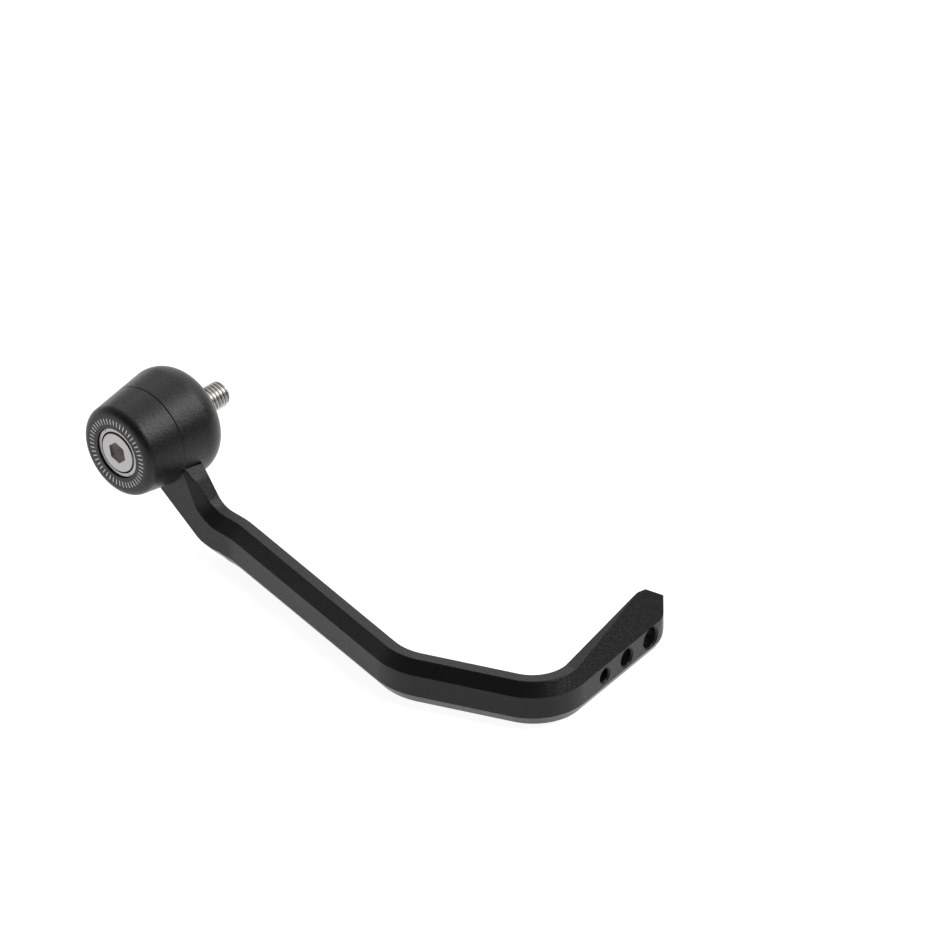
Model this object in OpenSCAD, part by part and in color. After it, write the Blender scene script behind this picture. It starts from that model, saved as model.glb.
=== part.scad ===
// Brake lever guard with its bar end, for the right-hand end of a motorcycle handlebar.
// One M8 cap screw clamps a stack on the bar: steel cup, front cover, arm, rear cover, seat disc.
// Origin: on the screw's axis, in the plane where the handlebar's end seats.
// +X runs inboard along the handlebar, -Y points forwards and +Z points up.

/* [Handlebar] */
// Outside diameter of the handlebar tube
bar_d = 22.2; // [22:0.1:29]
// Radial clearance between the rear cover and the handlebar
bar_gap = 0.2; // [0.1:0.05:0.5]
// Length of handlebar that the rear cover takes in
bar_depth = 5.4; // [2:0.1:7]

/* [Covers] */
// Radius of the front cover at its front face
face_r = 13.9; // [13:0.1:15]
// Taper of the covers, from the axis
taper = 8; // [6:0.5:10]
// Radius of the front cover's front edge
face_round = 2.7; // [0.5:0.1:3]
// Radius of the rear cover's rear edge
rear_round = 7.7; // [3:0.1:9]
// Depth of the cup below the front cover's face
cup_recess = 0.6; // [0.3:0.05:1.5]
// Chamfer on each side of the seam between the covers
seam_chamfer = 0.2; // [0.1:0.05:0.4]
// Thickness of the front cover's floor, which the cup clamps
front_floor = 1.4; // [1:0.1:3]
// Thickness of the rear cover's floor, which the seat disc clamps
rear_floor = 2; // [1:0.1:3]
// Clearance between turned and moulded pieces, on the radius
fit_gap = 0.05; // [0.03:0.01:0.1]
// Clearance of the rear cover's pocket round the arm
pocket_gap = 0.25; // [0.05:0.05:0.4]

/* [Steel pieces] */
// Thickness of the cup's wall round the screw's head
cup_wall = 1.2; // [0.8:0.05:2]
// Thickness of the cup's floor
cup_floor = 2.8; // [1.5:0.1:4]
// Thickness of the seat disc
disc_t = 4; // [3:0.5:5]
// Radius of the seat disc's spigot, which the arm turns on
spigot_r = 6.4; // [5.5:0.1:6.6]
// Chamfer on the turned edges
turned_chamfer = 0.25; // [0.1:0.05:0.4]

/* [Cap screw] */
// Nominal diameter of the thread
thread_d = 8; // [8:0.5:8.5]
// Length below the head
screw_l = 35; // [30:1:40]
// Diameter of the plain shank
shank_d = 7.2; // [7:0.1:7.6]
// Diameter of the head
head_d = 13; // [12.6:0.1:13]
// Height of the head
head_h = 8; // [7:0.5:8]
// How far the head stands out of the cup
head_proud = 0.3; // [-0.5:0.1:0.5]
// Chamfer on the head's top edge
head_chamfer = 0.5; // [0.2:0.1:1]
// Width across the flats of the hexagon socket
hex_w = 6; // [5:0.5:6.5]
// Depth of the hexagon socket
hex_depth = 4; // [3:0.5:5]
// Turn at which the tightened screw's socket stands
hex_turn = 46; // [0:1:59]
// Clearance round the screw, on the radius
screw_gap = 0.2; // [0.1:0.05:0.4]
// Chamfer at the end of the thread
thread_chamfer = 0.9; // [0.5:0.1:1.2]
// Outside radius of the rubber ring that keeps the screw in
ring_r = 7; // [6:0.1:8]
// Thickness of the rubber ring
ring_t = 1.6; // [1:0.1:2.5]

/* [Arm section] */
// Thickness of the arm, outer face to inner face
arm_t = 6.6; // [6:0.1:8]
// Height of the arm
arm_h = 15; // [13:0.5:17]
// Width of each bevel, across the arm
bevel_w = 2.9; // [2:0.1:3.5]
// Height of each bevel
bevel_h = 3.9; // [3:0.1:4.5]
// Height of the arm's middle above the screw's axis
arm_z = -23.1; // [-26:0.1:-21]

/* [Arm root] */
// Radius of the eye round the spigot
eye_r = 12.4; // [11:0.1:12.5]
// Height at which the root's top edge leaves the covers, level
root_top_z = -4.7; // [-6:0.1:-3]
// Distance forwards at which the slope that follows would reach the axis height
root_top_y = 12.9; // [12:0.1:14]
// How far the outer edge of that slope starts behind its inner edge, round the covers
root_lag = 1.6; // [0:0.1:2]
// Length of slope over which the outer edge catches up
root_lag_run = 2.4; // [1:0.1:4]
// Slope of the root's top edge
root_top_slope = 52; // [48:0.5:56]
// Depth of the root's lower edge straight below the axis
root_low_z = 12.1; // [11:0.1:12.3]
// Slope of the root's lower edge
root_low_slope = 33.2; // [30:0.1:36]
// Radius of the bend in the root's top edge
root_top_round = 8; // [4:0.5:14]
// Radius of the bend in the root's lower edge
root_low_round = 12; // [4:0.5:16]
// Distances forwards between which the root's upper bevel gains its width
top_bevel_w_from = 15; // [14:0.5:18]
top_bevel_w_to = 24.8; // [20:0.1:27]
// Distances forwards between which the root's upper bevel gains its height
top_bevel_h_from = 9.5; // [8:0.5:14]
top_bevel_h_to = 23; // [20:0.5:27]
// Distances forwards between which the root's lower bevel grows
low_bevel_from = 20.5; // [18:0.5:23]
low_bevel_to = 29.5; // [26:0.5:32]

/* [Arm path] */
// Distance forwards at which the first bend starts
neck_y = 32.7; // [32.2:0.1:40]
// Turn outboard at the first bend
neck_turn = 10; // [5:0.5:15]
// Outer face radius at the first bend
neck_round = 22; // [15:1:30]
// Length of the long straight after the first bend
long_run = 71.9; // [60:0.1:85]
// Turn inboard at the second bend
mid_turn = 35; // [25:0.5:40]
// Outer face radius at the second bend
mid_round = 23; // [15:1:30]
// Length of the middle straight after the second bend
mid_run = 29.7; // [20:0.1:40]
// Turn inboard at the third bend
tip_turn = 75; // [65:0.5:80]
// Outer face radius at the third bend
tip_round = 18.5; // [14:0.5:22]

/* [Arm tip] */
// Length of the straight tip, from the third bend to its nose
tip_run = 44.5; // [42:0.1:50]
// Rise of the tip's top edge
tip_rise = 7.4; // [0:0.1:9]
// Distance of the nose from the outer face
nose_w = 3.1; // [2:0.1:4.5]
// Setback of the nose's outer corner
nose_back_out = 4.3; // [2:0.1:6]
// Setback of the nose's inner corner
nose_back_in = 5; // [2:0.1:7]
// Distance of that corner from the inner face, which it eases into
nose_ease = 0.6; // [0.2:0.1:2]
// Setback at which the easing starts
nose_ease_back = 9.5; // [7:0.5:10]
// Radius of the tip's lower corner
nose_round = 4; // [1:0.5:6]
// Diameter of the largest hole
hole_d = 7; // [5:0.1:7.5]
// Step in diameter from each hole to the next
hole_step = 1.05; // [0.5:0.05:1.2]
// Distance of the largest hole from the nose
hole_back = 10.9; // [9:0.1:14]
// Distance between the first two hole centres
hole_pitch = 12; // [10:0.5:13]
// Step in distance from each pair of holes to the next
pitch_step = 0.9; // [0:0.1:1.5]

/* [Hidden] */
$fn = 96;
hole_count = 3;
over = 1;               // how far a cutter runs past what it cuts

// The stack, from the seat outwards
disc_x = -disc_t;
arm_in_x = disc_x - rear_floor;
seam_x = arm_in_x - arm_t;
cup_x = seam_x - front_floor;
head_x = cup_x - cup_floor;
cup_front_x = head_x - head_h + head_proud;
face_x = cup_front_x - cup_recess;

rear_x = bar_depth;
tip_x = head_x + screw_l;

// Radii of the turned pieces and of the holes that pass them
bar_r = bar_d / 2;
recess_r = bar_r + bar_gap;
bore_r = thread_d / 2 + screw_gap;
head_bore_r = head_d / 2 + screw_gap;
cup_r = head_bore_r + cup_wall;
spigot_hole_r = spigot_r + fit_gap;
thread_r = thread_d / 2;
shank_r = shank_d / 2;

// The arm's section and the corners of its root
blade_top = arm_z + arm_h / 2;
blade_low = arm_z - arm_h / 2;
side_h = arm_h - 2 * bevel_h;
bevel_rate = bevel_h / bevel_w;
top_y = root_top_y - blade_top / tan(root_top_slope);
low_y = (-blade_low - root_low_z) / tan(root_low_slope);

// Where the root starts inside the eye, and the number of steps along it
root_start_y = 9;
root_steps = 20;

// The blade's bends in order, as [radius on the outer face, turn inboard, straight after it]
bends = [[-neck_round, -neck_turn, long_run], [mid_round, mid_turn, mid_run],
         [tip_round, tip_turn, tip_run + over]];
bend_step = 3;          // degrees of bend from one section to the next

// Length over which the tip's top edge rises, until its bevel takes up the arm's whole thickness
rise_run = min((arm_t - bevel_w - 0.01) * bevel_rate / tan(tip_rise), tip_run);

// Radius of the covers' side at a place on the axis
function side_r(x) = face_r + (x - face_x) * tan(taper);

// Centre of an edge's round, as [radius, place on the axis]
function round_centre(r, x) = [side_r(x) - r / cos(taper), x];

// Where that round runs into the tapered side
function round_tangent(r, x) = round_centre(r, x) + r * [cos(taper), -sin(taper)];

// Distance of the nth hole from the nose
function hole_place(n) = hole_back + n * hole_pitch - pitch_step * n * (n - 1) / 2;

// Turns an outline drawn as [radius, place on the axis] about the screw's axis
module turned() {
    rotate([0, 90, 0]) rotate_extrude() children();
}

// Outline of a ring between two places on the axis
module ring(from, to, outer, inner = 0) {
    translate([inner, from]) square([outer - inner, to - from]);
}

// Outline of a turned piece with its two outer edges chamfered
module chamfered_ring(from, to, outer, inner, c) {
    polygon([[inner, from], [outer - c, from], [outer, from + c], [outer, to - c],
             [outer - c, to], [inner, to]]);
}

// Outline of both covers together, a tapered drum with rounded edges
module cover_outline() {
    front = face_x + face_round;
    rear = rear_x - rear_round;
    polygon([[0, face_x], [round_centre(face_round, front)[0], face_x],
             round_tangent(face_round, front), round_tangent(rear_round, rear),
             [round_centre(rear_round, rear)[0], rear_x], [0, rear_x]]);
    translate(round_centre(face_round, front)) circle(face_round);
    translate(round_centre(rear_round, rear)) circle(rear_round);
}

// Outline of the small groove where the covers meet
module seam_groove() {
    translate([side_r(seam_x), seam_x])
        polygon([[-seam_chamfer, 0], [over, seam_chamfer + over], [over, -seam_chamfer - over]]);
}

module front_cover() {
    color("#2b2b2c") turned() difference() {
        intersection() {
            cover_outline();
            ring(face_x, seam_x, side_r(rear_x));
        }
        ring(face_x - over, cup_x, cup_r + fit_gap);
        ring(face_x - over, seam_x + over, spigot_hole_r);
        seam_groove();
    }
}

// Side view of the eye and the root's straight edges, as [forwards, up], grown by a gap
module root_sides(gap, reach) {
    circle(eye_r + gap);
    rise = gap / cos(root_top_slope);
    drop = gap / cos(root_low_slope);
    brow = root_top_z + gap;
    polygon([[0, -root_low_z - drop],
             [0, brow],
             [root_top_y + (rise - brow) / tan(root_top_slope), brow],
             [reach, (root_top_y - reach) * tan(root_top_slope) + rise],
             [reach, -root_low_z - reach * tan(root_low_slope) - drop]]);
}

// A plate across the arm, drawn in side view as [forwards, up]
module side_plate(t) {
    translate([seam_x, 0, 0]) rotate([90, 0, 90]) linear_extrude(t) mirror([1, 0]) children();
}

module rear_cover() {
    reach = side_r(rear_x) + over;
    color("#303031") difference() {
        turned() difference() {
            intersection() {
                cover_outline();
                ring(seam_x, rear_x, side_r(rear_x));
            }
            ring(seam_x - over, rear_x + over, spigot_hole_r);
            ring(disc_x, over, bar_r + fit_gap);
            ring(0, rear_x + over, recess_r);
            seam_groove();
        }
        translate([-over, 0, 0]) side_plate(arm_t + over) root_sides(pocket_gap, reach);
    }
}

module head_cup() {
    color("silver") turned() difference() {
        chamfered_ring(cup_front_x, cup_x, cup_r, bore_r, turned_chamfer);
        ring(cup_front_x - over, head_x, head_bore_r);
    }
}

module seat_disc() {
    ring_seat = ring_t + 2 * fit_gap;
    color("silver") turned() difference() {
        union() {
            chamfered_ring(disc_x, 0, bar_r, bore_r, turned_chamfer);
            ring(cup_x, disc_x, spigot_r, bore_r);
        }
        ring(-ring_seat, over, ring_r + fit_gap);
    }
}

module cap_screw() {
    head_front = head_x - head_h;
    color("gainsboro") difference() {
        turned() polygon([
            [0, head_front], [head_d / 2 - head_chamfer, head_front],
            [head_d / 2, head_front + head_chamfer], [head_d / 2, head_x],
            [shank_r, head_x], [shank_r, 0], [thread_r, 0], [thread_r, tip_x - thread_chamfer],
            [thread_r - thread_chamfer, tip_x], [0, tip_x]]);
        translate([head_front - over, 0, 0]) rotate([0, 90, 0]) rotate([0, 0, hex_turn])
            cylinder(h = hex_depth + over, d = hex_w / cos(30), $fn = 6);
    }
}

module screw_ring() {
    color("#1c1c1c") turned()
        translate([0, -2 * fit_gap]) ring(-ring_t, 0, ring_r, shank_r + fit_gap);
}

// Unit steps in plan for a heading, which is zero forwards and grows as the arm turns inboard
function ahead(heading) = [sin(heading), -cos(heading)];
function across(heading) = [cos(heading), sin(heading)];

// Stations along the blade's outer face, as [place in plan, heading]
function stations(n, place, heading) =
    n == len(bends) ? [[place, heading]] :
    let (radius = bends[n][0], turn = bends[n][1], steps = ceil(abs(turn) / bend_step))
    let (centre = place + radius * across(heading), end = heading + turn)
    concat([for (k = [0 : steps]) let (h = heading + turn * k / steps)
                [centre - radius * across(h), h]],
           stations(n + 1, centre - radius * across(end) + bends[n][2] * ahead(end), end));

// The blade's section at a station, bevelled on both outer edges, with its inner edge raised
function section(station, raise) =
    [for (corner = [[0, -side_h / 2], [bevel_w, -arm_h / 2], [arm_t, -arm_h / 2],
                    [arm_t, arm_h / 2 + raise], [bevel_w + raise / bevel_rate, arm_h / 2 + raise],
                    [0, side_h / 2]])
        concat(station[0] + corner[0] * across(station[1]), arm_z + corner[1])];

// How far something has grown at a place, from nearly nothing to one
function grown(place, from, to) = max(0.01, min(1, (place - from) / (to - from)));

// A root edge in side view at a share t of its length, as [[forwards, up], slope]: it runs
// straight from its start and then bends level round its corner
function root_edge(t, start, corner, slope, radius) =
    let (centre = corner + radius * [tan(slope / 2), 1])
    let (bend_start = centre - radius * [sin(slope), cos(slope)], a = slope * (2 - 2 * t))
    t < 0.5 ? [start + 2 * t * (bend_start - start), slope] :
    [centre - radius * [sin(a), cos(a)], a];

// A point of the root at a depth from its outer face
function at_depth(depth, side) = [seam_x + depth, -side[0], side[1]];

// The root's section between its top and low edges, whose bevels run out towards the covers
function root_section(top, low, lag) =
    let (top_w = bevel_w * grown(top[0][0], top_bevel_w_from, top_bevel_w_to),
         top_h = bevel_h * grown(top[0][0], top_bevel_h_from, top_bevel_h_to),
         low_w = bevel_w * grown(low[0][0], low_bevel_from, low_bevel_to),
         low_h = bevel_h * grown(low[0][0], low_bevel_from, low_bevel_to))
    [at_depth(0, low[0] + low_h * [sin(low[1]), cos(low[1])]), at_depth(low_w, low[0]),
     at_depth(arm_t, low[0]), at_depth(arm_t, top[0]), at_depth(top_w, top[0] - [lag, 0]),
     at_depth(0, top[0] - top_h * [sin(top[1]), cos(top[1])])];

// Every section from inside the eye to the neck: a level stretch that leaves the covers, then
// the slope and its bend
function root_sections() =
    let (brow = [root_top_y - root_top_z / tan(root_top_slope), root_top_z])
    let (low_start = [root_start_y / 4, -root_low_z - root_start_y / 4 * tan(root_low_slope)])
    concat([root_section([[root_start_y, root_top_z], 0], [[0, -root_low_z], root_low_slope], 0)],
           [for (k = [0 : root_steps])
               let (top = root_edge(k / root_steps, brow, [top_y, blade_top], root_top_slope,
                                    root_top_round))
               root_section(top, root_edge(k / root_steps, low_start, [low_y, blade_low],
                                           root_low_slope, root_low_round),
                            root_lag * max(0, 1 - (top[0][0] - brow[0]) / root_lag_run))]);

// Every section of the blade from the neck past the nose, whose top edge rises along the tip
function blade_sections() =
    let (path = stations(0, [seam_x, -neck_y], 0), last = path[len(path) - 1])
    let (risen = last[0] - (tip_run + over - rise_run) * ahead(last[1]))
    let (rise = rise_run * tan(tip_rise))
    concat([for (k = [0 : len(path) - 2]) section(path[k], 0)],
           [section([risen, last[1]], rise), section(last, rise)]);

// One skin over a row of six-cornered sections
module skin(sections) {
    last = len(sections) - 1;
    sides = [for (k = [0 : last - 1], e = [0 : 5])
                [6 * k + e, 6 * k + 6 + e, 6 * k + 6 + (e + 1) % 6, 6 * k + (e + 1) % 6]];
    polyhedron([for (ring = sections) each ring],
               concat([[0, 1, 2, 3, 4, 5]], sides, [[for (e = [5 : -1 : 0]) 6 * last + e]]));
}

// Cuts the tip to its pointed nose, seen in plan as [inboard, back from the nose]
module nose_cut() {
    out_rate = nose_back_out / nose_w;
    ease_rate = (nose_ease_back - nose_back_in) / nose_ease;
    translate([0, 0, -arm_h]) linear_extrude(2 * arm_h)
        polygon([[-over, nose_back_out + over * out_rate], [nose_w, 0],
                 [arm_t - nose_ease, nose_back_in],
                 [arm_t + over, nose_ease_back + over * ease_rate], [arm_t + over, -2 * over],
                 [-over, -2 * over]]);
}

// Cuts the tip's lower corner round
module nose_corner_cut() {
    translate([-over, 0, -arm_h / 2]) rotate([90, 0, 90]) linear_extrude(arm_t + 2 * over)
        difference() {
            translate([-over, -over]) square(nose_round + over);
            translate([nose_round, nose_round]) circle(nose_round);
        }
}

// The arm: an eye on the spigot, a root that drops to the neck, and the blade with its tip
module guard_arm() {
    path = stations(0, [seam_x, -neck_y], 0);
    end = path[len(path) - 1];
    nose = end[0] - over * ahead(end[1]);
    color("#333334") difference() {
        union() {
            skin(concat(root_sections(), blade_sections()));
            translate([seam_x, 0, 0]) rotate([0, 90, 0]) cylinder(h = arm_t, r = eye_r);
        }
        translate([seam_x - over, 0, 0]) rotate([0, 90, 0])
            cylinder(h = arm_t + 2 * over, r = spigot_hole_r);
        translate([nose[0], nose[1], arm_z]) rotate([0, 0, end[1]]) {
            nose_cut();
            nose_corner_cut();
            for (n = [0 : hole_count - 1])
                translate([-over, hole_place(n), 0]) rotate([0, 90, 0])
                    cylinder(h = arm_t + 2 * over, d = hole_d - n * hole_step);
        }
    }
}

guard_arm();
front_cover();
rear_cover();
head_cup();
seat_disc();
cap_screw();
screw_ring();
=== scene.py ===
import math

import bpy
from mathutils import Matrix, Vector


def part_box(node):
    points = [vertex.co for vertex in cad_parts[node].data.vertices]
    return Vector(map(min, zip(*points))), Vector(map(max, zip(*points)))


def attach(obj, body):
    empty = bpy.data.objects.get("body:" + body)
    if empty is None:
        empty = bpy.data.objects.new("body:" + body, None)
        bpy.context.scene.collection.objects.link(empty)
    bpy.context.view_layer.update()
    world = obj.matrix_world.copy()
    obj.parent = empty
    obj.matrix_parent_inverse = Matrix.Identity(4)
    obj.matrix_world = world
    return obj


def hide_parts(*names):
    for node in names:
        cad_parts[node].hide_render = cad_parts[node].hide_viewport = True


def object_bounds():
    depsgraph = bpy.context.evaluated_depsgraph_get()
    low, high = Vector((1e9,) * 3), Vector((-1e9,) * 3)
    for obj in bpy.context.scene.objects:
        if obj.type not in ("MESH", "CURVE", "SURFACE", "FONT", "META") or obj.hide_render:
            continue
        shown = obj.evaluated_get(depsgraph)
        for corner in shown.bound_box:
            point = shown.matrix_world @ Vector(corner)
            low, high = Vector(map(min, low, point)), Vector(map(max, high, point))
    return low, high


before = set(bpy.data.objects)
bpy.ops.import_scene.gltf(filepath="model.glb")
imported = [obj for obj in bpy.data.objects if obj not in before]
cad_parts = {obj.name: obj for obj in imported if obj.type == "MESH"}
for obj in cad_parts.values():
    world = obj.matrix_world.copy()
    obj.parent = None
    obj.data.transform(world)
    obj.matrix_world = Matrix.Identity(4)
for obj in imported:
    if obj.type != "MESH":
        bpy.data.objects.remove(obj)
cad_low, cad_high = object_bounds()
scene = bpy.context.scene

# The camera looks from outboard, in front and above, equally along all three axes, and sees
# without perspective, as the photograph of the guard does.
view_width = 0.27616
view_centre = Vector((0.0409, -0.0814, 0.0))
to_camera = Vector((-1, -1, 1)).normalized()
camera = bpy.data.objects.new("camera", bpy.data.cameras.new("camera"))
scene.collection.objects.link(camera)
camera.data.type = "ORTHO"
camera.data.ortho_scale = view_width
camera.location = view_centre + to_camera
camera.rotation_euler = (-to_camera).to_track_quat("-Z", "Y").to_euler()
scene.camera = camera

# The guard stands on a plain white light table, as for a catalogue picture: the table glows, so
# the guard throws almost no shadow and its undersides are lit from below.
table_size = 8
gap_below_guard = 0.0007
bpy.ops.object.select_all(action="DESELECT")
bpy.ops.mesh.primitive_plane_add(size=table_size, location=(0, 0, cad_low[2] - gap_below_guard))
floor = bpy.context.object
floor.name = "floor"
bpy.ops.object.transform_apply(location=True, rotation=True, scale=True)
paper = bpy.data.materials.new("white_light_table")
paper.use_nodes = True
table_shader = paper.node_tree.nodes["Principled BSDF"]
table_shader.inputs["Base Color"].default_value = (0.3, 0.3, 0.3, 1)
table_shader.inputs["Roughness"].default_value = 0.9
table_shader.inputs["Emission Color"].default_value = (1, 1, 1, 1)
table_shader.inputs["Emission Strength"].default_value = 0.92
floor.data.materials.append(paper)


# A large soft box behind the guard lights its tops, and a smaller one to its right makes the
# covers' highlight. The room is pale low down and behind, and dim above, outboard and in front.
class Wire:
    """A shader socket that Python sums work on."""

    def __init__(self, tree, output):
        self.tree = tree
        self.output = output

    def node(self, kind, settings=None, values=None, output=0):
        """Adds a node: its settings first, then the values or wires of its sockets."""
        made = self.tree.nodes.new(kind)
        for name, setting in (settings or {}).items():
            setattr(made, name, setting)
        for name, value in (values or {}).items():
            if isinstance(value, Wire):
                self.tree.links.new(value.output, made.inputs[name])
            else:
                made.inputs[name].default_value = value
        return Wire(self.tree, made.outputs[output])

    def maths(self, operation, *values):
        return self.node("ShaderNodeMath", {"operation": operation}, dict(enumerate(values)))

    def __add__(self, other):
        return self.maths("ADD", self, other)

    def __radd__(self, other):
        return self.maths("ADD", other, self)

    def __sub__(self, other):
        return self.maths("SUBTRACT", self, other)

    def __rsub__(self, other):
        return self.maths("SUBTRACT", other, self)

    def __mul__(self, other):
        return self.maths("MULTIPLY", self, other)

    def __rmul__(self, other):
        return self.maths("MULTIPLY", other, self)

    def step(self, low, high):
        """Rises smoothly from 0 at low to 1 at high."""
        return self.node(
            "ShaderNodeMapRange",
            {"interpolation_type": "SMOOTHSTEP"},
            {"Value": self, "From Min": low, "From Max": high},
        )

    def noise(self, scale, detail=2.0, roughness=0.5):
        """Noise at this place, with so many bumps to a metre."""
        values = {"Vector": self, "Scale": scale, "Detail": detail, "Roughness": roughness}
        return self.node("ShaderNodeTexNoise", None, values)

    def relief(self, strength, depth):
        """A bumped normal from this height, where 1 is so many metres deep."""
        values = {"Strength": strength, "Distance": depth, "Height": self}
        return self.node("ShaderNodeBump", None, values)

    def axes(self):
        """This place's three numbers."""
        split = self.node("ShaderNodeSeparateXYZ", None, {"Vector": self})
        return [Wire(self.tree, split.output.node.outputs[name]) for name in "XYZ"]

    def blend(self, low, high):
        """A colour between two, by this factor."""
        made = self.node("ShaderNodeMix", {"data_type": "RGBA"}).output.node
        for name, value in {"Factor": self, "A": low, "B": high}.items():
            kind = "VALUE" if name == "Factor" else "RGBA"
            socket = next(s for s in made.inputs if s.name == name and s.type == kind)
            if isinstance(value, Wire):
                self.tree.links.new(value.output, socket)
            else:
                socket.default_value = value
        return Wire(self.tree, next(s for s in made.outputs if s.type == "RGBA"))


def soft_box(name, azimuth, elevation, size, power, distance=1.5):
    """Hangs a square lamp that faces the guard from a compass angle and a height angle."""
    a, e = math.radians(azimuth), math.radians(elevation)
    away = Vector((math.cos(a) * math.cos(e), math.sin(a) * math.cos(e), math.sin(e)))
    lamp = bpy.data.objects.new(name, bpy.data.lights.new(name, "AREA"))
    scene.collection.objects.link(lamp)
    lamp.data.shape = "SQUARE"
    lamp.data.size = size
    lamp.data.energy = power
    lamp.location = view_centre + distance * away
    lamp.rotation_euler = (-away).to_track_quat("-Z", "Y").to_euler()


soft_box("box_behind_right", azimuth=22, elevation=44, size=2.2, power=17)
soft_box("box_right", azimuth=-55, elevation=52, size=0.9, power=16.5)
room = bpy.data.worlds.new("room")
scene.world = room
room.use_nodes = True
sky = room.node_tree.nodes["Background"]
direction = Wire(room.node_tree, sky.outputs[0]).node("ShaderNodeTexCoord", output="Generated")
inboard, backwards, upwards = direction.axes()
above, low_down, above_fade = 0.24, 0.36, (0.02, 0.45)
dimmed_outboard, outboard_fade = 0.6, (0.5, 0.9)
dimmed_in_front, front_fade = 0.5, (0.1, 0.6)
paler_behind, behind_fade = 0.6, (0.3, 0.8)
brightness = upwards.step(*above_fade) * (above - low_down) + low_down
brightness = brightness * (1 - dimmed_outboard * (0 - inboard).step(*outboard_fade))
brightness = brightness * (1 - dimmed_in_front * (0 - backwards).step(*front_fade))
brightness = brightness * (1 + paler_behind * backwards.step(*behind_fade))
over_table = upwards.step(-0.03, -0.02)
brightness = over_table * brightness + (1 - over_table)
room.node_tree.links.new(brightness.output, sky.inputs["Strength"])
sky.inputs["Color"].default_value = (1, 1, 1, 1)
scene.view_settings.view_transform = "Standard"

# The arm is moulded in black glass-filled nylon with a fine, even spark grain: an eye that the
# covers clamp, a root that drops to the neck, and a bevelled blade that bends round the lever
# and ends in a nose with three holes. All its edges are softly rounded. Sizes are in mm.
mm = 0.001
arm_t, arm_h, arm_z, arm_outer_x = 6.6, 15.0, -23.1, -12.6
bevel_w, bevel_h = 2.9, 3.9
spigot_hole_r, eye_r, eye_hole_from, eye_hole_to = 6.45, 12.4, -14, -5
root_top_start_y, root_top_y, root_top_z, root_top_slope, root_top_round = 9, 12.9, -4.7, 52, 8
root_low_start_y, root_low_z, root_low_slope, root_low_round = 2.25, 12.1, 33.2, 12
root_lag, root_lag_run, root_steps = 1.6, 2.4, 40
top_bevel_w, top_bevel_h, low_bevel = (15, 24.8), (9.5, 23), (20.5, 29.5)
overrun = 1
neck_y, tip_run, tip_rise = 32.7, 44.5, 7.4
bends = [(-22, -10, 71.9), (23, 35, 29.7), (18.5, 75, tip_run + overrun)]
degrees_a_step = 2
nose_w, nose_out, nose_in, nose_ease, nose_ease_back, nose_round = 3.1, 4.3, 5, 0.6, 9.5, 4
nose_soft, nose_clear, slant_round, slant_past, tip_drop = 5.5, 0.02, 7.3, 6, 0.5
nose_steps = 12
holes, rim, rim_inset, hole_corners = [(10.9, 7.0), (22.9, 5.95), (34.0, 4.9)], 0.55, 0.3, 96
edge_r, edge_steps = 0.4, 4
least_share, most_side = 0.01, 0.45
sharp_turn, sharp_round, smooth_turn = 48, 0.25, 32


def degrees(turn):
    """Sine and cosine of a turn in degrees."""
    return math.sin(math.radians(turn)), math.cos(math.radians(turn))


def plan(inwards, forwards, up):
    return Vector((inwards, -forwards, up))


def along(heading):
    """Unit step ahead in plan, where heading 0 is forwards and grows inboard."""
    return plan(degrees(heading)[0], degrees(heading)[1], 0)


def across(heading):
    return plan(degrees(heading)[1], -degrees(heading)[0], 0)


def grown(place, span):
    return max(least_share, min(1, (place - span[0]) / (span[1] - span[0])))


def root_edge(share, start, corner, slope, radius):
    """A point (forwards, up) of a root edge and its slope there: straight, then bent level."""
    tangent = math.tan(math.radians(slope / 2))
    centre = Vector((corner[0] + radius * tangent, corner[1] + radius))
    bend_start = centre - radius * Vector(degrees(slope))
    if share < 0.5:
        return start + 2 * share * (bend_start - start), slope
    turned = slope * (2 - 2 * share)
    return centre - radius * Vector(degrees(turned)), turned


def root_section(top, low, lag):
    """The root's six corners between its top and low edges, with its growing bevels."""
    (top_at, top_slope), (low_at, low_slope) = top, low
    top_wide = bevel_w * grown(top_at[0], top_bevel_w)
    top_high = bevel_h * grown(top_at[0], top_bevel_h)
    low_share = grown(low_at[0], low_bevel)
    low_share = max(least_share, low_share**2 * (3 - 2 * low_share))
    low_out = low_at + bevel_h * low_share * Vector(degrees(low_slope))
    top_out = top_at - top_high * Vector(degrees(top_slope))
    lagging = top_at - Vector((lag, 0))
    corners = [(0, low_out), (bevel_w * low_share, low_at), (arm_t, low_at), (arm_t, top_at),
               (top_wide, lagging), (0, top_out)]
    return [plan(arm_outer_x + depth, side[0], side[1]) for depth, side in corners]


def blade_section(place, heading, rise, drop=0):
    """The blade's six corners at a station on its outer face."""
    flat = arm_h / 2 - bevel_h
    wide = bevel_w * (1 + rise / bevel_h)
    low_z = -arm_h / 2 - drop
    corners = [(0, -flat), (bevel_w, low_z), (arm_t, low_z), (arm_t, arm_h / 2 + rise),
               (wide, arm_h / 2 + rise), (0, flat)]
    return [place + depth * across(heading) + plan(0, 0, arm_z + up) for depth, up in corners]


def rounded(corners):
    """A section's outline in metres with an arc at each corner, smaller where sides are short."""
    outline = []
    for n, corner in enumerate(corners):
        back, on = corners[n - 1] - corner, corners[(n + 1) % len(corners)] - corner
        half = back.angle(on) / 2
        reach = min(edge_r / math.tan(half), most_side * back.length, most_side * on.length)
        radius = reach * math.tan(half)
        towards_middle = (back.normalized() + on.normalized()).normalized()
        middle = corner + towards_middle * radius / math.sin(half)
        start, end = corner + reach * back.normalized(), corner + reach * on.normalized()
        for k in range(edge_steps + 1):
            chord = start.lerp(end, k / edge_steps) - middle
            outline.append((middle + chord.normalized() * radius) * mm)
    return outline


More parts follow.
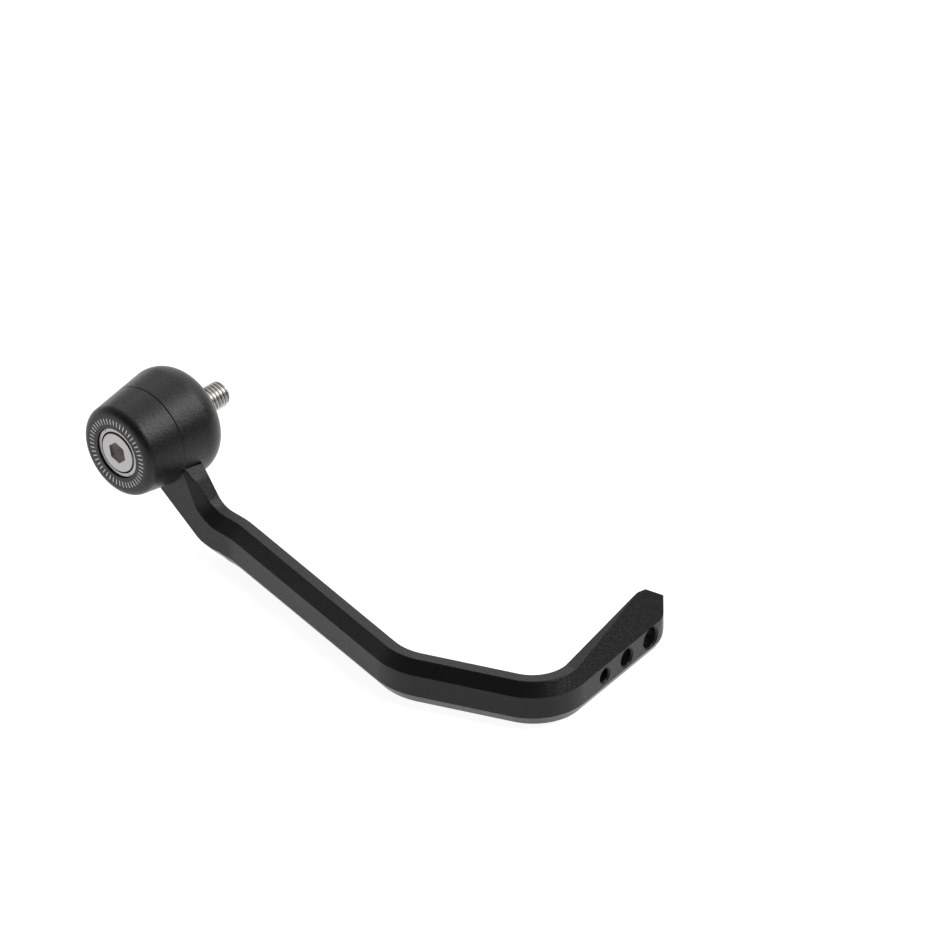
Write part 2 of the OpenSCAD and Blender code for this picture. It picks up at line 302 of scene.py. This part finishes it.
def swept(name, rings):
    """Draws one closed ring as a face and extrudes it from ring to ring."""
    bpy.ops.object.select_all(action="DESELECT")
    bpy.ops.mesh.primitive_circle_add(vertices=len(rings[0]), fill_type="NGON")
    made = bpy.context.object
    made.name = name
    for vertex, place in zip(made.data.vertices, rings[0]):
        vertex.co = place
    for ring in rings[1:]:
        bpy.ops.object.mode_set(mode="EDIT")
        bpy.ops.mesh.extrude_region_move()
        bpy.ops.object.mode_set(mode="OBJECT")
        drawn = [vertex for vertex in made.data.vertices if vertex.select]
        for vertex, place in zip(drawn, ring):
            vertex.co = place
    bpy.ops.object.mode_set(mode="EDIT")
    bpy.ops.mesh.select_all(action="SELECT")
    bpy.ops.mesh.normals_make_consistent(inside=False)
    bpy.ops.object.mode_set(mode="OBJECT")
    return made


def rod_along_x(name, radius, x_from, x_to):
    """A plain round rod on the screw's axis, between two places in millimetres."""
    start, end = Vector((x_from, 0, 0)), Vector((x_to, 0, 0))
    bpy.ops.object.select_all(action="DESELECT")
    bpy.ops.mesh.primitive_cylinder_add(
        vertices=96, radius=radius * mm, depth=(end - start).length * mm,
        location=(start + end) * (mm / 2),
        rotation=(end - start).to_track_quat("Z", "Y").to_euler(),
    )
    bpy.context.object.name = name
    bpy.ops.object.transform_apply(location=True, rotation=True, scale=True)
    return bpy.context.object


def combine(piece, tool, operation, self_crossing=False):
    """Joins a tool to a piece, cuts it away or keeps what both share."""
    change = piece.modifiers.new("combine", "BOOLEAN")
    change.operation = operation
    change.solver = "EXACT"
    change.use_self = self_crossing
    change.object = tool
    bpy.ops.object.select_all(action="DESELECT")
    piece.select_set(True)
    bpy.context.view_layer.objects.active = piece
    bpy.ops.object.modifier_apply(modifier=change.name)
    bpy.data.objects.remove(tool)


# The root's sections, from inside the eye to where it runs level at the neck.
top_slope_tangent = math.tan(math.radians(root_top_slope))
low_slope_tangent = math.tan(math.radians(root_low_slope))
brow = Vector((root_top_y - root_top_z / top_slope_tangent, root_top_z))
low_start = Vector((root_low_start_y, -root_low_z - root_low_start_y * low_slope_tangent))
top_corner = (root_top_y - (arm_z + arm_h / 2) / top_slope_tangent, arm_z + arm_h / 2)
low_corner = ((arm_h / 2 - arm_z - root_low_z) / low_slope_tangent, arm_z - arm_h / 2)
first_top = (Vector((root_top_start_y, root_top_z)), 0)
first_low = (Vector((0, -root_low_z)), root_low_slope)
sections = [root_section(first_top, first_low, 0)]
for k in range(root_steps + 1):
    top = root_edge(k / root_steps, brow, top_corner, root_top_slope, root_top_round)
    low = root_edge(k / root_steps, low_start, low_corner, root_low_slope, root_low_round)
    lag = root_lag * max(0, 1 - (top[0][0] - brow[0]) / root_lag_run)
    sections.append(root_section(top, low, lag))

# The blade's sections, at every second degree of its three bends and at the tip's rise.
place, heading = plan(arm_outer_x, neck_y, 0), 0
for bend_r, turn, straight in bends:
    centre = place + bend_r * across(heading)
    steps = math.ceil(abs(turn) / degrees_a_step)
    for k in range(steps + 1):
        station = heading + turn * k / steps
        drop = tip_drop * (k / steps) ** 2 if turn == bends[-1][1] else 0
        sections.append(blade_section(centre - bend_r * across(station), station, 0, drop))
    heading += turn
    place = centre - bend_r * across(heading) + straight * along(heading)
rise_tangent = math.tan(math.radians(tip_rise))
rise_run = min((arm_t - bevel_w - least_share) * bevel_h / bevel_w / rise_tangent, tip_run)
rise = rise_run * rise_tangent
rise_end = place - (tip_run + overrun - rise_run) * along(heading)
sections.append(blade_section(rise_end, heading, rise, tip_drop))
sections.append(blade_section(place, heading, rise, tip_drop))
arm = swept("grained_arm", [rounded(section) for section in sections])
combine(arm, rod_along_x("eye", eye_r, arm_outer_x, arm_outer_x + arm_t), "UNION")
combine(arm, rod_along_x("eye_hole", spigot_hole_r, eye_hole_from, eye_hole_to), "DIFFERENCE")


def at_nose(inwards, back, up):
    """A place in metres that is given from the tip's nose."""
    nose = place - overrun * along(heading) + plan(0, 0, arm_z)
    return (nose + inwards * across(heading) - back * along(heading) + plan(0, 0, up)) * mm


# The nose is cut slanting and soft in front, and eased on its inner side.
ease_rate = (nose_ease_back - nose_in) / nose_ease
nose_turn = math.degrees(math.atan2(nose_w, nose_out))
eased = nose_out + nose_soft * math.tan(math.radians(nose_turn / 2))
nose_plan = [(-overrun, eased + nose_clear)]
for k in range(1, nose_steps + 1):
    s, c = degrees(nose_turn * k / nose_steps)
    nose_plan.append((nose_soft * (1 - c), eased - nose_soft * s))
nose_plan += [(nose_w, 0), (arm_t - nose_ease, nose_in),
              (arm_t + overrun, nose_ease_back + ease_rate), (arm_t + overrun, -2), (-overrun, -2)]
nose_tool = [[at_nose(x, y, up) for x, y in nose_plan] for up in (-arm_h, arm_h)]
combine(arm, swept("nose_tool", nose_tool), "DIFFERENCE")

# Its lower corner is round, seen from the side.
corner_side = [(-overrun, -overrun), (nose_round, -overrun)]
for degree in range(-90, -181, -5):
    s, c = degrees(degree)
    corner_side.append((nose_round + nose_round * c, nose_round + nose_round * s))
corner_side.append((-overrun, nose_round))
corner_tool = [
    [at_nose(x, y, up - arm_h / 2) for y, up in corner_side] for x in (-overrun, arm_t + overrun)
]
combine(arm, swept("corner_tool", corner_tool), "DIFFERENCE")

# The slanting edge from the nose's face down to its underside is round too.
edge_from = Vector((0, nose_out, bevel_h - arm_h / 2))
edge_to = Vector((nose_w, 0, -arm_h / 2 - tip_drop))
slant = (edge_to - edge_from).normalized()
rising = (Vector((0, 0, 1)) - slant.z * slant).normalized()
trailing = (Vector((0, 1, 0)) - slant.y * slant).normalized()
half = rising.angle(trailing) / 2
reach = slant_round / math.tan(half)
middle = (rising + trailing).normalized() * slant_round / math.sin(half)
slant_side = [-2 * (rising + trailing)]
for k in range(nose_steps + 1):
    chord = (reach * rising).lerp(reach * trailing, k / nose_steps) - middle
    slant_side.append(middle + slant_round * chord.normalized())
slant_tool = [
    [at_nose(*(end + side)) for side in slant_side]
    for end in (edge_from - slant_past * slant, edge_to + slant_past * slant)
]
combine(arm, swept("slant_tool", slant_tool), "DIFFERENCE")

# The three holes go right through, with a chamfered rim on both sides.
spokes = [degrees(360 / hole_corners * n) for n in range(hole_corners)]
hole_flares = [(-overrun, rim + overrun), (rim, 0), (arm_t - rim, 0),
               (arm_t + overrun, rim + overrun)]
for back, wide in holes:
    hole_rings = []
    for x, flare in hole_flares:
        out = wide / 2 - rim_inset + flare
        hole_rings.append([at_nose(x, back + out * c, out * s) for s, c in spokes])
    combine(arm, swept("hole_tool", hole_rings), "DIFFERENCE")

# The edges that the cuts left sharp are softened.
bpy.ops.object.mode_set(mode="EDIT")
bpy.ops.mesh.select_all(action="SELECT")
bpy.ops.mesh.remove_doubles(threshold=1e-6)
bpy.ops.mesh.select_all(action="DESELECT")
bpy.ops.mesh.edges_select_sharp(sharpness=math.radians(sharp_turn))
bpy.ops.object.mode_set(mode="OBJECT")
sharpness = arm.data.attributes.new("bevel_weight_edge", "FLOAT", "EDGE")
for edge in arm.data.edges:
    sharpness.data[edge.index].value = 1 if edge.select else 0
soft = arm.modifiers.new("soft_edges", "BEVEL")
soft.limit_method = "WEIGHT"
soft.width = sharp_round * mm
soft.segments = 3
soft.use_clamp_overlap = True
bpy.ops.object.modifier_apply(modifier=soft.name)
bpy.ops.object.shade_smooth_by_angle(angle=math.radians(smooth_turn))
even = arm.modifiers.new("even_normals", "WEIGHTED_NORMAL")
even.keep_sharp = True
bpy.ops.object.modifier_apply(modifier=even.name)


def finish_named(name, **constants):
    """A new material: returns it, its shader's input setter and the spot on the piece."""
    material = bpy.data.materials.new(name)
    material.use_nodes = True
    shader = material.node_tree.nodes["Principled BSDF"]
    for socket, value in constants.items():
        shader.inputs[socket.replace("_", " ")].default_value = value
    spot = Wire(material.node_tree, shader.outputs[0]).node("ShaderNodeTexCoord", output="Object")

    def feed(socket, wire):
        material.node_tree.links.new(wire.output, shader.inputs[socket])

    return material, feed, spot


arm_black = (0.003, 0.003, 0.0031, 1)
arm_grey = (0.0065, 0.0065, 0.0067, 1)
arm_finish, feed, spot = finish_named("fine_grained_nylon", Specular_IOR_Level=0.28)
grain = spot.noise(scale=2200, detail=3, roughness=0.6)
feed("Base Color", grain.step(0.3, 0.75).blend(arm_black, arm_grey))
feed("Roughness", 0.24 + 0.14 * grain)
feed("Normal", grain.relief(strength=0.9, depth=0.00015))
arm.data.materials.clear()
arm.data.materials.append(arm_finish)
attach(arm, "root")
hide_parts("guard_arm")


# The rear cover is a smooth moulding in the same nylon with a coarser grain, rounded at its
# ends. It closes over the arm's eye from behind and keeps its CAD shape.
def cover_finish(name):
    """Coarse moulded grain with small glints, on a slightly uneven black."""
    cover_black = (0.002, 0.002, 0.0021, 1)
    cover_grey = (0.010, 0.010, 0.0102, 1)
    material, feed, spot = finish_named(name, Specular_IOR_Level=0.34)
    coarse = spot.noise(scale=1500, detail=3, roughness=0.65)
    fine = spot.noise(scale=4200, detail=2, roughness=0.5)
    relief = 0.7 * coarse + 0.3 * fine
    colour = relief.step(0.35, 0.7).blend(cover_black, cover_grey)
    feed("Roughness", 0.18 + 0.28 * coarse)
    feed("Normal", relief.relief(strength=1.0, depth=0.00017))
    feed("Base Color", colour)
    return material, feed, spot, colour


rear_finish = cover_finish("coarse_grained_nylon")[0]
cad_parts["rear_cover"].material_slots[0].material = rear_finish


# The front cover has the same finish and keeps its CAD shape too. A plain ring of short white
# ticks is printed on its face, round the cup, with ink that sinks a little into the grain.
def from_axis(spot):
    """A spot's three numbers and its distance from the screw's axis."""
    x, y, z = spot.axes()
    squares = y * y + z * z
    return x, y, z, squares.maths("SQRT", squares)


face_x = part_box("front_cover")[0][0]
tick_count, tick_share, tick_blur = 48, 0.22, 0.05
tick_inner, tick_outer, ring_blur = 0.0092, 0.0110, 0.00008
tick_white = (0.75, 0.75, 0.74, 1)
front_finish, feed, spot, colour = cover_finish("printed_front_nylon")
x, y, z, from_centre = from_axis(spot)
round_face = z.maths("ARCTAN2", z, y) * (tick_count / math.tau) + 0.5
off_tick = round_face.maths("FRACT", round_face) - 0.5
off_tick = off_tick.maths("ABSOLUTE", off_tick)
tick = 1 - off_tick.step(tick_share / 2 - tick_blur, tick_share / 2 + tick_blur)
band = from_centre.step(tick_inner - ring_blur, tick_inner + ring_blur)
band = band * (1 - from_centre.step(tick_outer - ring_blur, tick_outer + ring_blur))
on_face = 1 - x.step(face_x + 0.0001, face_x + 0.0002)
ink = tick * band * on_face
feed("Base Color", (ink * 0.9).blend(colour, tick_white))
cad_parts["front_cover"].material_slots[0].material = front_finish


# The cup is turned from stainless bar, with fine feed marks round the axis and a bright,
# slightly warm surface. Its rim has two tiny punched dots, painted dark as the shade in their pits.
# It keeps its CAD shape.
def turned_finish(name, dots=()):
    """Turned stainless steel: rings of feed marks round the screw's axis."""
    steel = (0.43, 0.42, 0.41)
    dot_core, dot_edge = 0.00014, 0.0003
    material, feed, spot = finish_named(name, Metallic=1.0)
    x, y, z, from_centre = from_axis(spot)
    spread = {"X": from_centre + x, "Y": 0.0, "Z": 0.0}
    relief = spot.node("ShaderNodeCombineXYZ", None, spread).noise(scale=9000)
    patches = spot.noise(scale=700, detail=3)
    tone = patches.step(0.3, 0.7).blend(tuple(0.88 * c for c in steel) + (1,), steel + (1,))
    for dot_y, dot_z in dots:
        far = (y - dot_y) * (y - dot_y) + (z - dot_z) * (z - dot_z)
        # Painted shade: each dot's pit is coloured dark as well as sunk in the bump.
        shaded_pit = 1 - far.step(dot_core**2, dot_edge**2)
        tone = shaded_pit.blend(tone, (0.08, 0.075, 0.07, 1))
        relief = relief - 3 * shaded_pit
    feed("Base Color", tone)
    feed("Roughness", 0.26 + 0.14 * patches)
    feed("Normal", relief.relief(strength=0.35, depth=0.00002))
    return material


cup_dots = [(0.0051, 0.0052), (-0.0047, -0.0055)]
cup_finish = turned_finish("turned_cup_steel", cup_dots)
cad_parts["head_cup"].material_slots[0].material = cup_finish

# The seat disc is turned from the same bar. The handlebar's end sits on it and hides most of
# it, and it keeps its CAD shape.
disc_finish = turned_finish("turned_disc_steel")
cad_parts["seat_disc"].material_slots[0].material = disc_finish

# The M8 cap screw is stainless too: a cylinder head with a hexagon socket that ends in the
# drill's cone, a plain shank through the stack, and a rolled thread from the seat to its tip.
head_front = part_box("cap_screw")[0][0]
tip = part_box("cap_screw")[1][0]
head_back = head_front + 0.008
head_r, head_edge, head_edge_start, head_edge_drop = 0.0065, 0.0005, 0.00012, 0.0003
shank_r = 0.0036
thread_r, thread_pitch, thread_depth, tip_chamfer = 0.004, 0.00125, 0.00077, 0.0009
thread_root_r = thread_r - thread_depth
socket_r = 0.003 / math.cos(math.radians(30))
socket_depth, hex_turn, drill_cone = 0.004, 16, 0.0012


def turned_solid(name, outline):
    """Spins a closed outline of (place on the axis, radius) round the screw's axis."""
    bpy.ops.object.select_all(action="DESELECT")
    bpy.ops.mesh.primitive_circle_add(vertices=len(outline), fill_type="NOTHING")
    made = bpy.context.object
    made.name = name
    for vertex, (on_axis, off_axis) in zip(made.data.vertices, outline):
        vertex.co = (on_axis, 0, off_axis)
    bpy.ops.object.mode_set(mode="EDIT")
    bpy.ops.mesh.select_all(action="SELECT")
    bpy.ops.mesh.spin(steps=96, angle=math.tau, center=(0, 0, 0), axis=(1, 0, 0))
    bpy.ops.mesh.select_all(action="SELECT")
    bpy.ops.mesh.remove_doubles(threshold=1e-7)
    bpy.ops.mesh.dissolve_degenerate(threshold=1e-7)
    bpy.ops.mesh.normals_make_consistent(inside=False)
    bpy.ops.object.mode_set(mode="OBJECT")
    return made


screw = turned_solid(
    "cap_screw_with_thread",
    [
        (head_front, 0.0),
        (head_front, head_r - head_edge),
        (head_front + head_edge_start, head_r - head_edge_drop),
        (head_front + head_edge, head_r),
        (head_back, head_r),
        (head_back, shank_r),
        (0.0, shank_r),
        (0.0, thread_root_r),
        (tip, thread_root_r),
        (tip, 0.0),
    ],
)

# The socket is a six-sided bar with a cone on its inner end, turned a little about the axis.
bpy.ops.object.select_all(action="DESELECT")
bpy.ops.mesh.primitive_cylinder_add(
    vertices=6, radius=socket_r, depth=2 * socket_depth, location=(head_front, 0, 0),
    rotation=(0, math.radians(90), 0),
)
socket = bpy.context.object
bpy.ops.object.transform_apply(location=True, rotation=True, scale=True)
socket.rotation_euler = (math.radians(hex_turn), 0, 0)
bpy.ops.object.transform_apply(location=False, rotation=True, scale=False)
bpy.ops.object.mode_set(mode="EDIT")
bpy.ops.mesh.select_all(action="DESELECT")
bpy.ops.object.mode_set(mode="OBJECT")
for face in socket.data.polygons:
    face.select = face.normal.x > 0.9
bpy.ops.object.mode_set(mode="EDIT")
bpy.ops.mesh.inset(thickness=0.0001)
bpy.ops.mesh.extrude_region_move(TRANSFORM_OT_translate={"value": (drill_cone, 0, 0)})
bpy.ops.mesh.merge(type="CENTER")
bpy.ops.object.mode_set(mode="OBJECT")
combine(screw, socket, "DIFFERENCE")

# The thread is one ridge wound round the core, trimmed to its envelope and joined to the core.
sunk, clear, lead_in = 0.0001, 0.00001, 0.0004
crest, root_gap = thread_pitch / 16, thread_pitch * 0.44
ridge_outline = [(-root_gap, thread_root_r - sunk), (-crest, thread_r), (crest, thread_r),
                 (root_gap, thread_root_r - sunk)]
bpy.ops.object.select_all(action="DESELECT")
bpy.ops.mesh.primitive_circle_add(vertices=4, fill_type="NOTHING")
ridge = bpy.context.object
for vertex, (on_axis, off_axis) in zip(ridge.data.vertices, ridge_outline):
    vertex.co = (on_axis, 0, off_axis)
spiral = ridge.modifiers.new("spiral", "SCREW")
spiral.axis = "X"
spiral.steps = 64
spiral.render_steps = 64
spiral.screw_offset = thread_pitch
spiral.iterations = int(tip / thread_pitch) + 2
spiral.use_merge_vertices = False
bpy.ops.object.modifier_apply(modifier=spiral.name)
bpy.ops.object.mode_set(mode="EDIT")
bpy.ops.mesh.select_all(action="DESELECT")
bpy.ops.mesh.select_non_manifold()
bpy.ops.mesh.edge_face_add()
bpy.ops.mesh.select_all(action="SELECT")
bpy.ops.mesh.normals_make_consistent(inside=False)
bpy.ops.object.mode_set(mode="OBJECT")
envelope = turned_solid(
    "thread_envelope",
    [(0.0, 0.0), (0.0, shank_r), (lead_in, thread_r + clear), (tip - tip_chamfer, thread_r + clear),
     (tip, thread_r - tip_chamfer), (tip, 0.0)],
)
combine(ridge, envelope, "INTERSECT", self_crossing=True)
combine(screw, ridge, "UNION", self_crossing=True)
bpy.ops.object.select_all(action="DESELECT")
screw.select_set(True)
bpy.context.view_layer.objects.active = screw
bpy.ops.object.shade_smooth_by_angle(angle=math.radians(25))

# The steel is brightest on the thread's crests and plainer on the head. Painted shade darkens the
# thread's roots and a ring round the head's edge, and painted light makes the socket pale and less
# metallic.
screw_finish, feed, spot = finish_named("plain_screw_steel", Metallic=1.0)
x, _, _, from_centre = from_axis(spot)
patches = spot.noise(scale=900, detail=4)
# Painted light: the hexagon socket is coloured paler, browner, rougher and less metallic than the
# steel, for the light that its bottom and walls reflect.
painted_socket_light = x.step(head_front + 0.0004, head_front + 0.0030)
painted_socket_light = painted_socket_light * (1 - from_centre.step(0.0034, 0.0036))
painted_socket_light = painted_socket_light * (1 - x.step(head_front + 0.006, head_front + 0.0062))
on_head = 1 - x.step(head_front + 0.0005, head_front + 0.002)
# Painted shade and painted dark reflection: a dark ring at the head's chamfer, where the gap to the
# cup lies in shadow.
painted_groove_shade = on_head * from_centre.step(0.00602, 0.00618)
on_crest = from_centre.step(thread_r - 0.0006, thread_r - 0.0001)
# Painted shade: the thread's roots between the ridges are coloured darker than its crests.
painted_root_shade = (1 - on_crest) * x.step(0, 0.0004) * (1 - x.step(tip - 0.0005, tip))
bright = patches.step(0.3, 0.7).blend((0.60, 0.585, 0.57, 1), (0.70, 0.685, 0.67, 1))
bright = painted_root_shade.blend(bright, (0.30, 0.28, 0.265, 1))
bright = on_head.blend(bright, (0.41, 0.405, 0.40, 1))
bright = painted_groove_shade.blend(bright, (0.07, 0.065, 0.06, 1))
feed("Base Color", painted_socket_light.blend(bright, (0.62, 0.56, 0.54, 1)))
feed("Metallic", 1 - 0.75 * painted_socket_light)
feed("Roughness", 0.26 + 0.12 * patches + 0.2 * painted_socket_light)
feed("Normal", patches.relief(strength=0.3, depth=0.00003))
screw.data.materials.clear()
screw.data.materials.append(screw_finish)
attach(screw, "root")
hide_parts("cap_screw")

# A black rubber ring sits in the seat disc and keeps the screw in place while the guard is off
# the bar. It keeps its CAD shape, with a dull, slightly mottled surface.
rubber_black = (0.012, 0.012, 0.012, 1)
rubber_grey = (0.03, 0.03, 0.029, 1)
rubber, feed, spot = finish_named("dull_rubber", Specular_IOR_Level=0.35)
mottle = spot.noise(scale=1300, detail=4, roughness=0.6)
feed("Base Color", mottle.step(0.3, 0.75).blend(rubber_black, rubber_grey))
feed("Roughness", 0.62 + 0.25 * mottle)
feed("Normal", mottle.relief(strength=0.3, depth=0.00005))
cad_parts["screw_ring"].material_slots[0].material = rubber
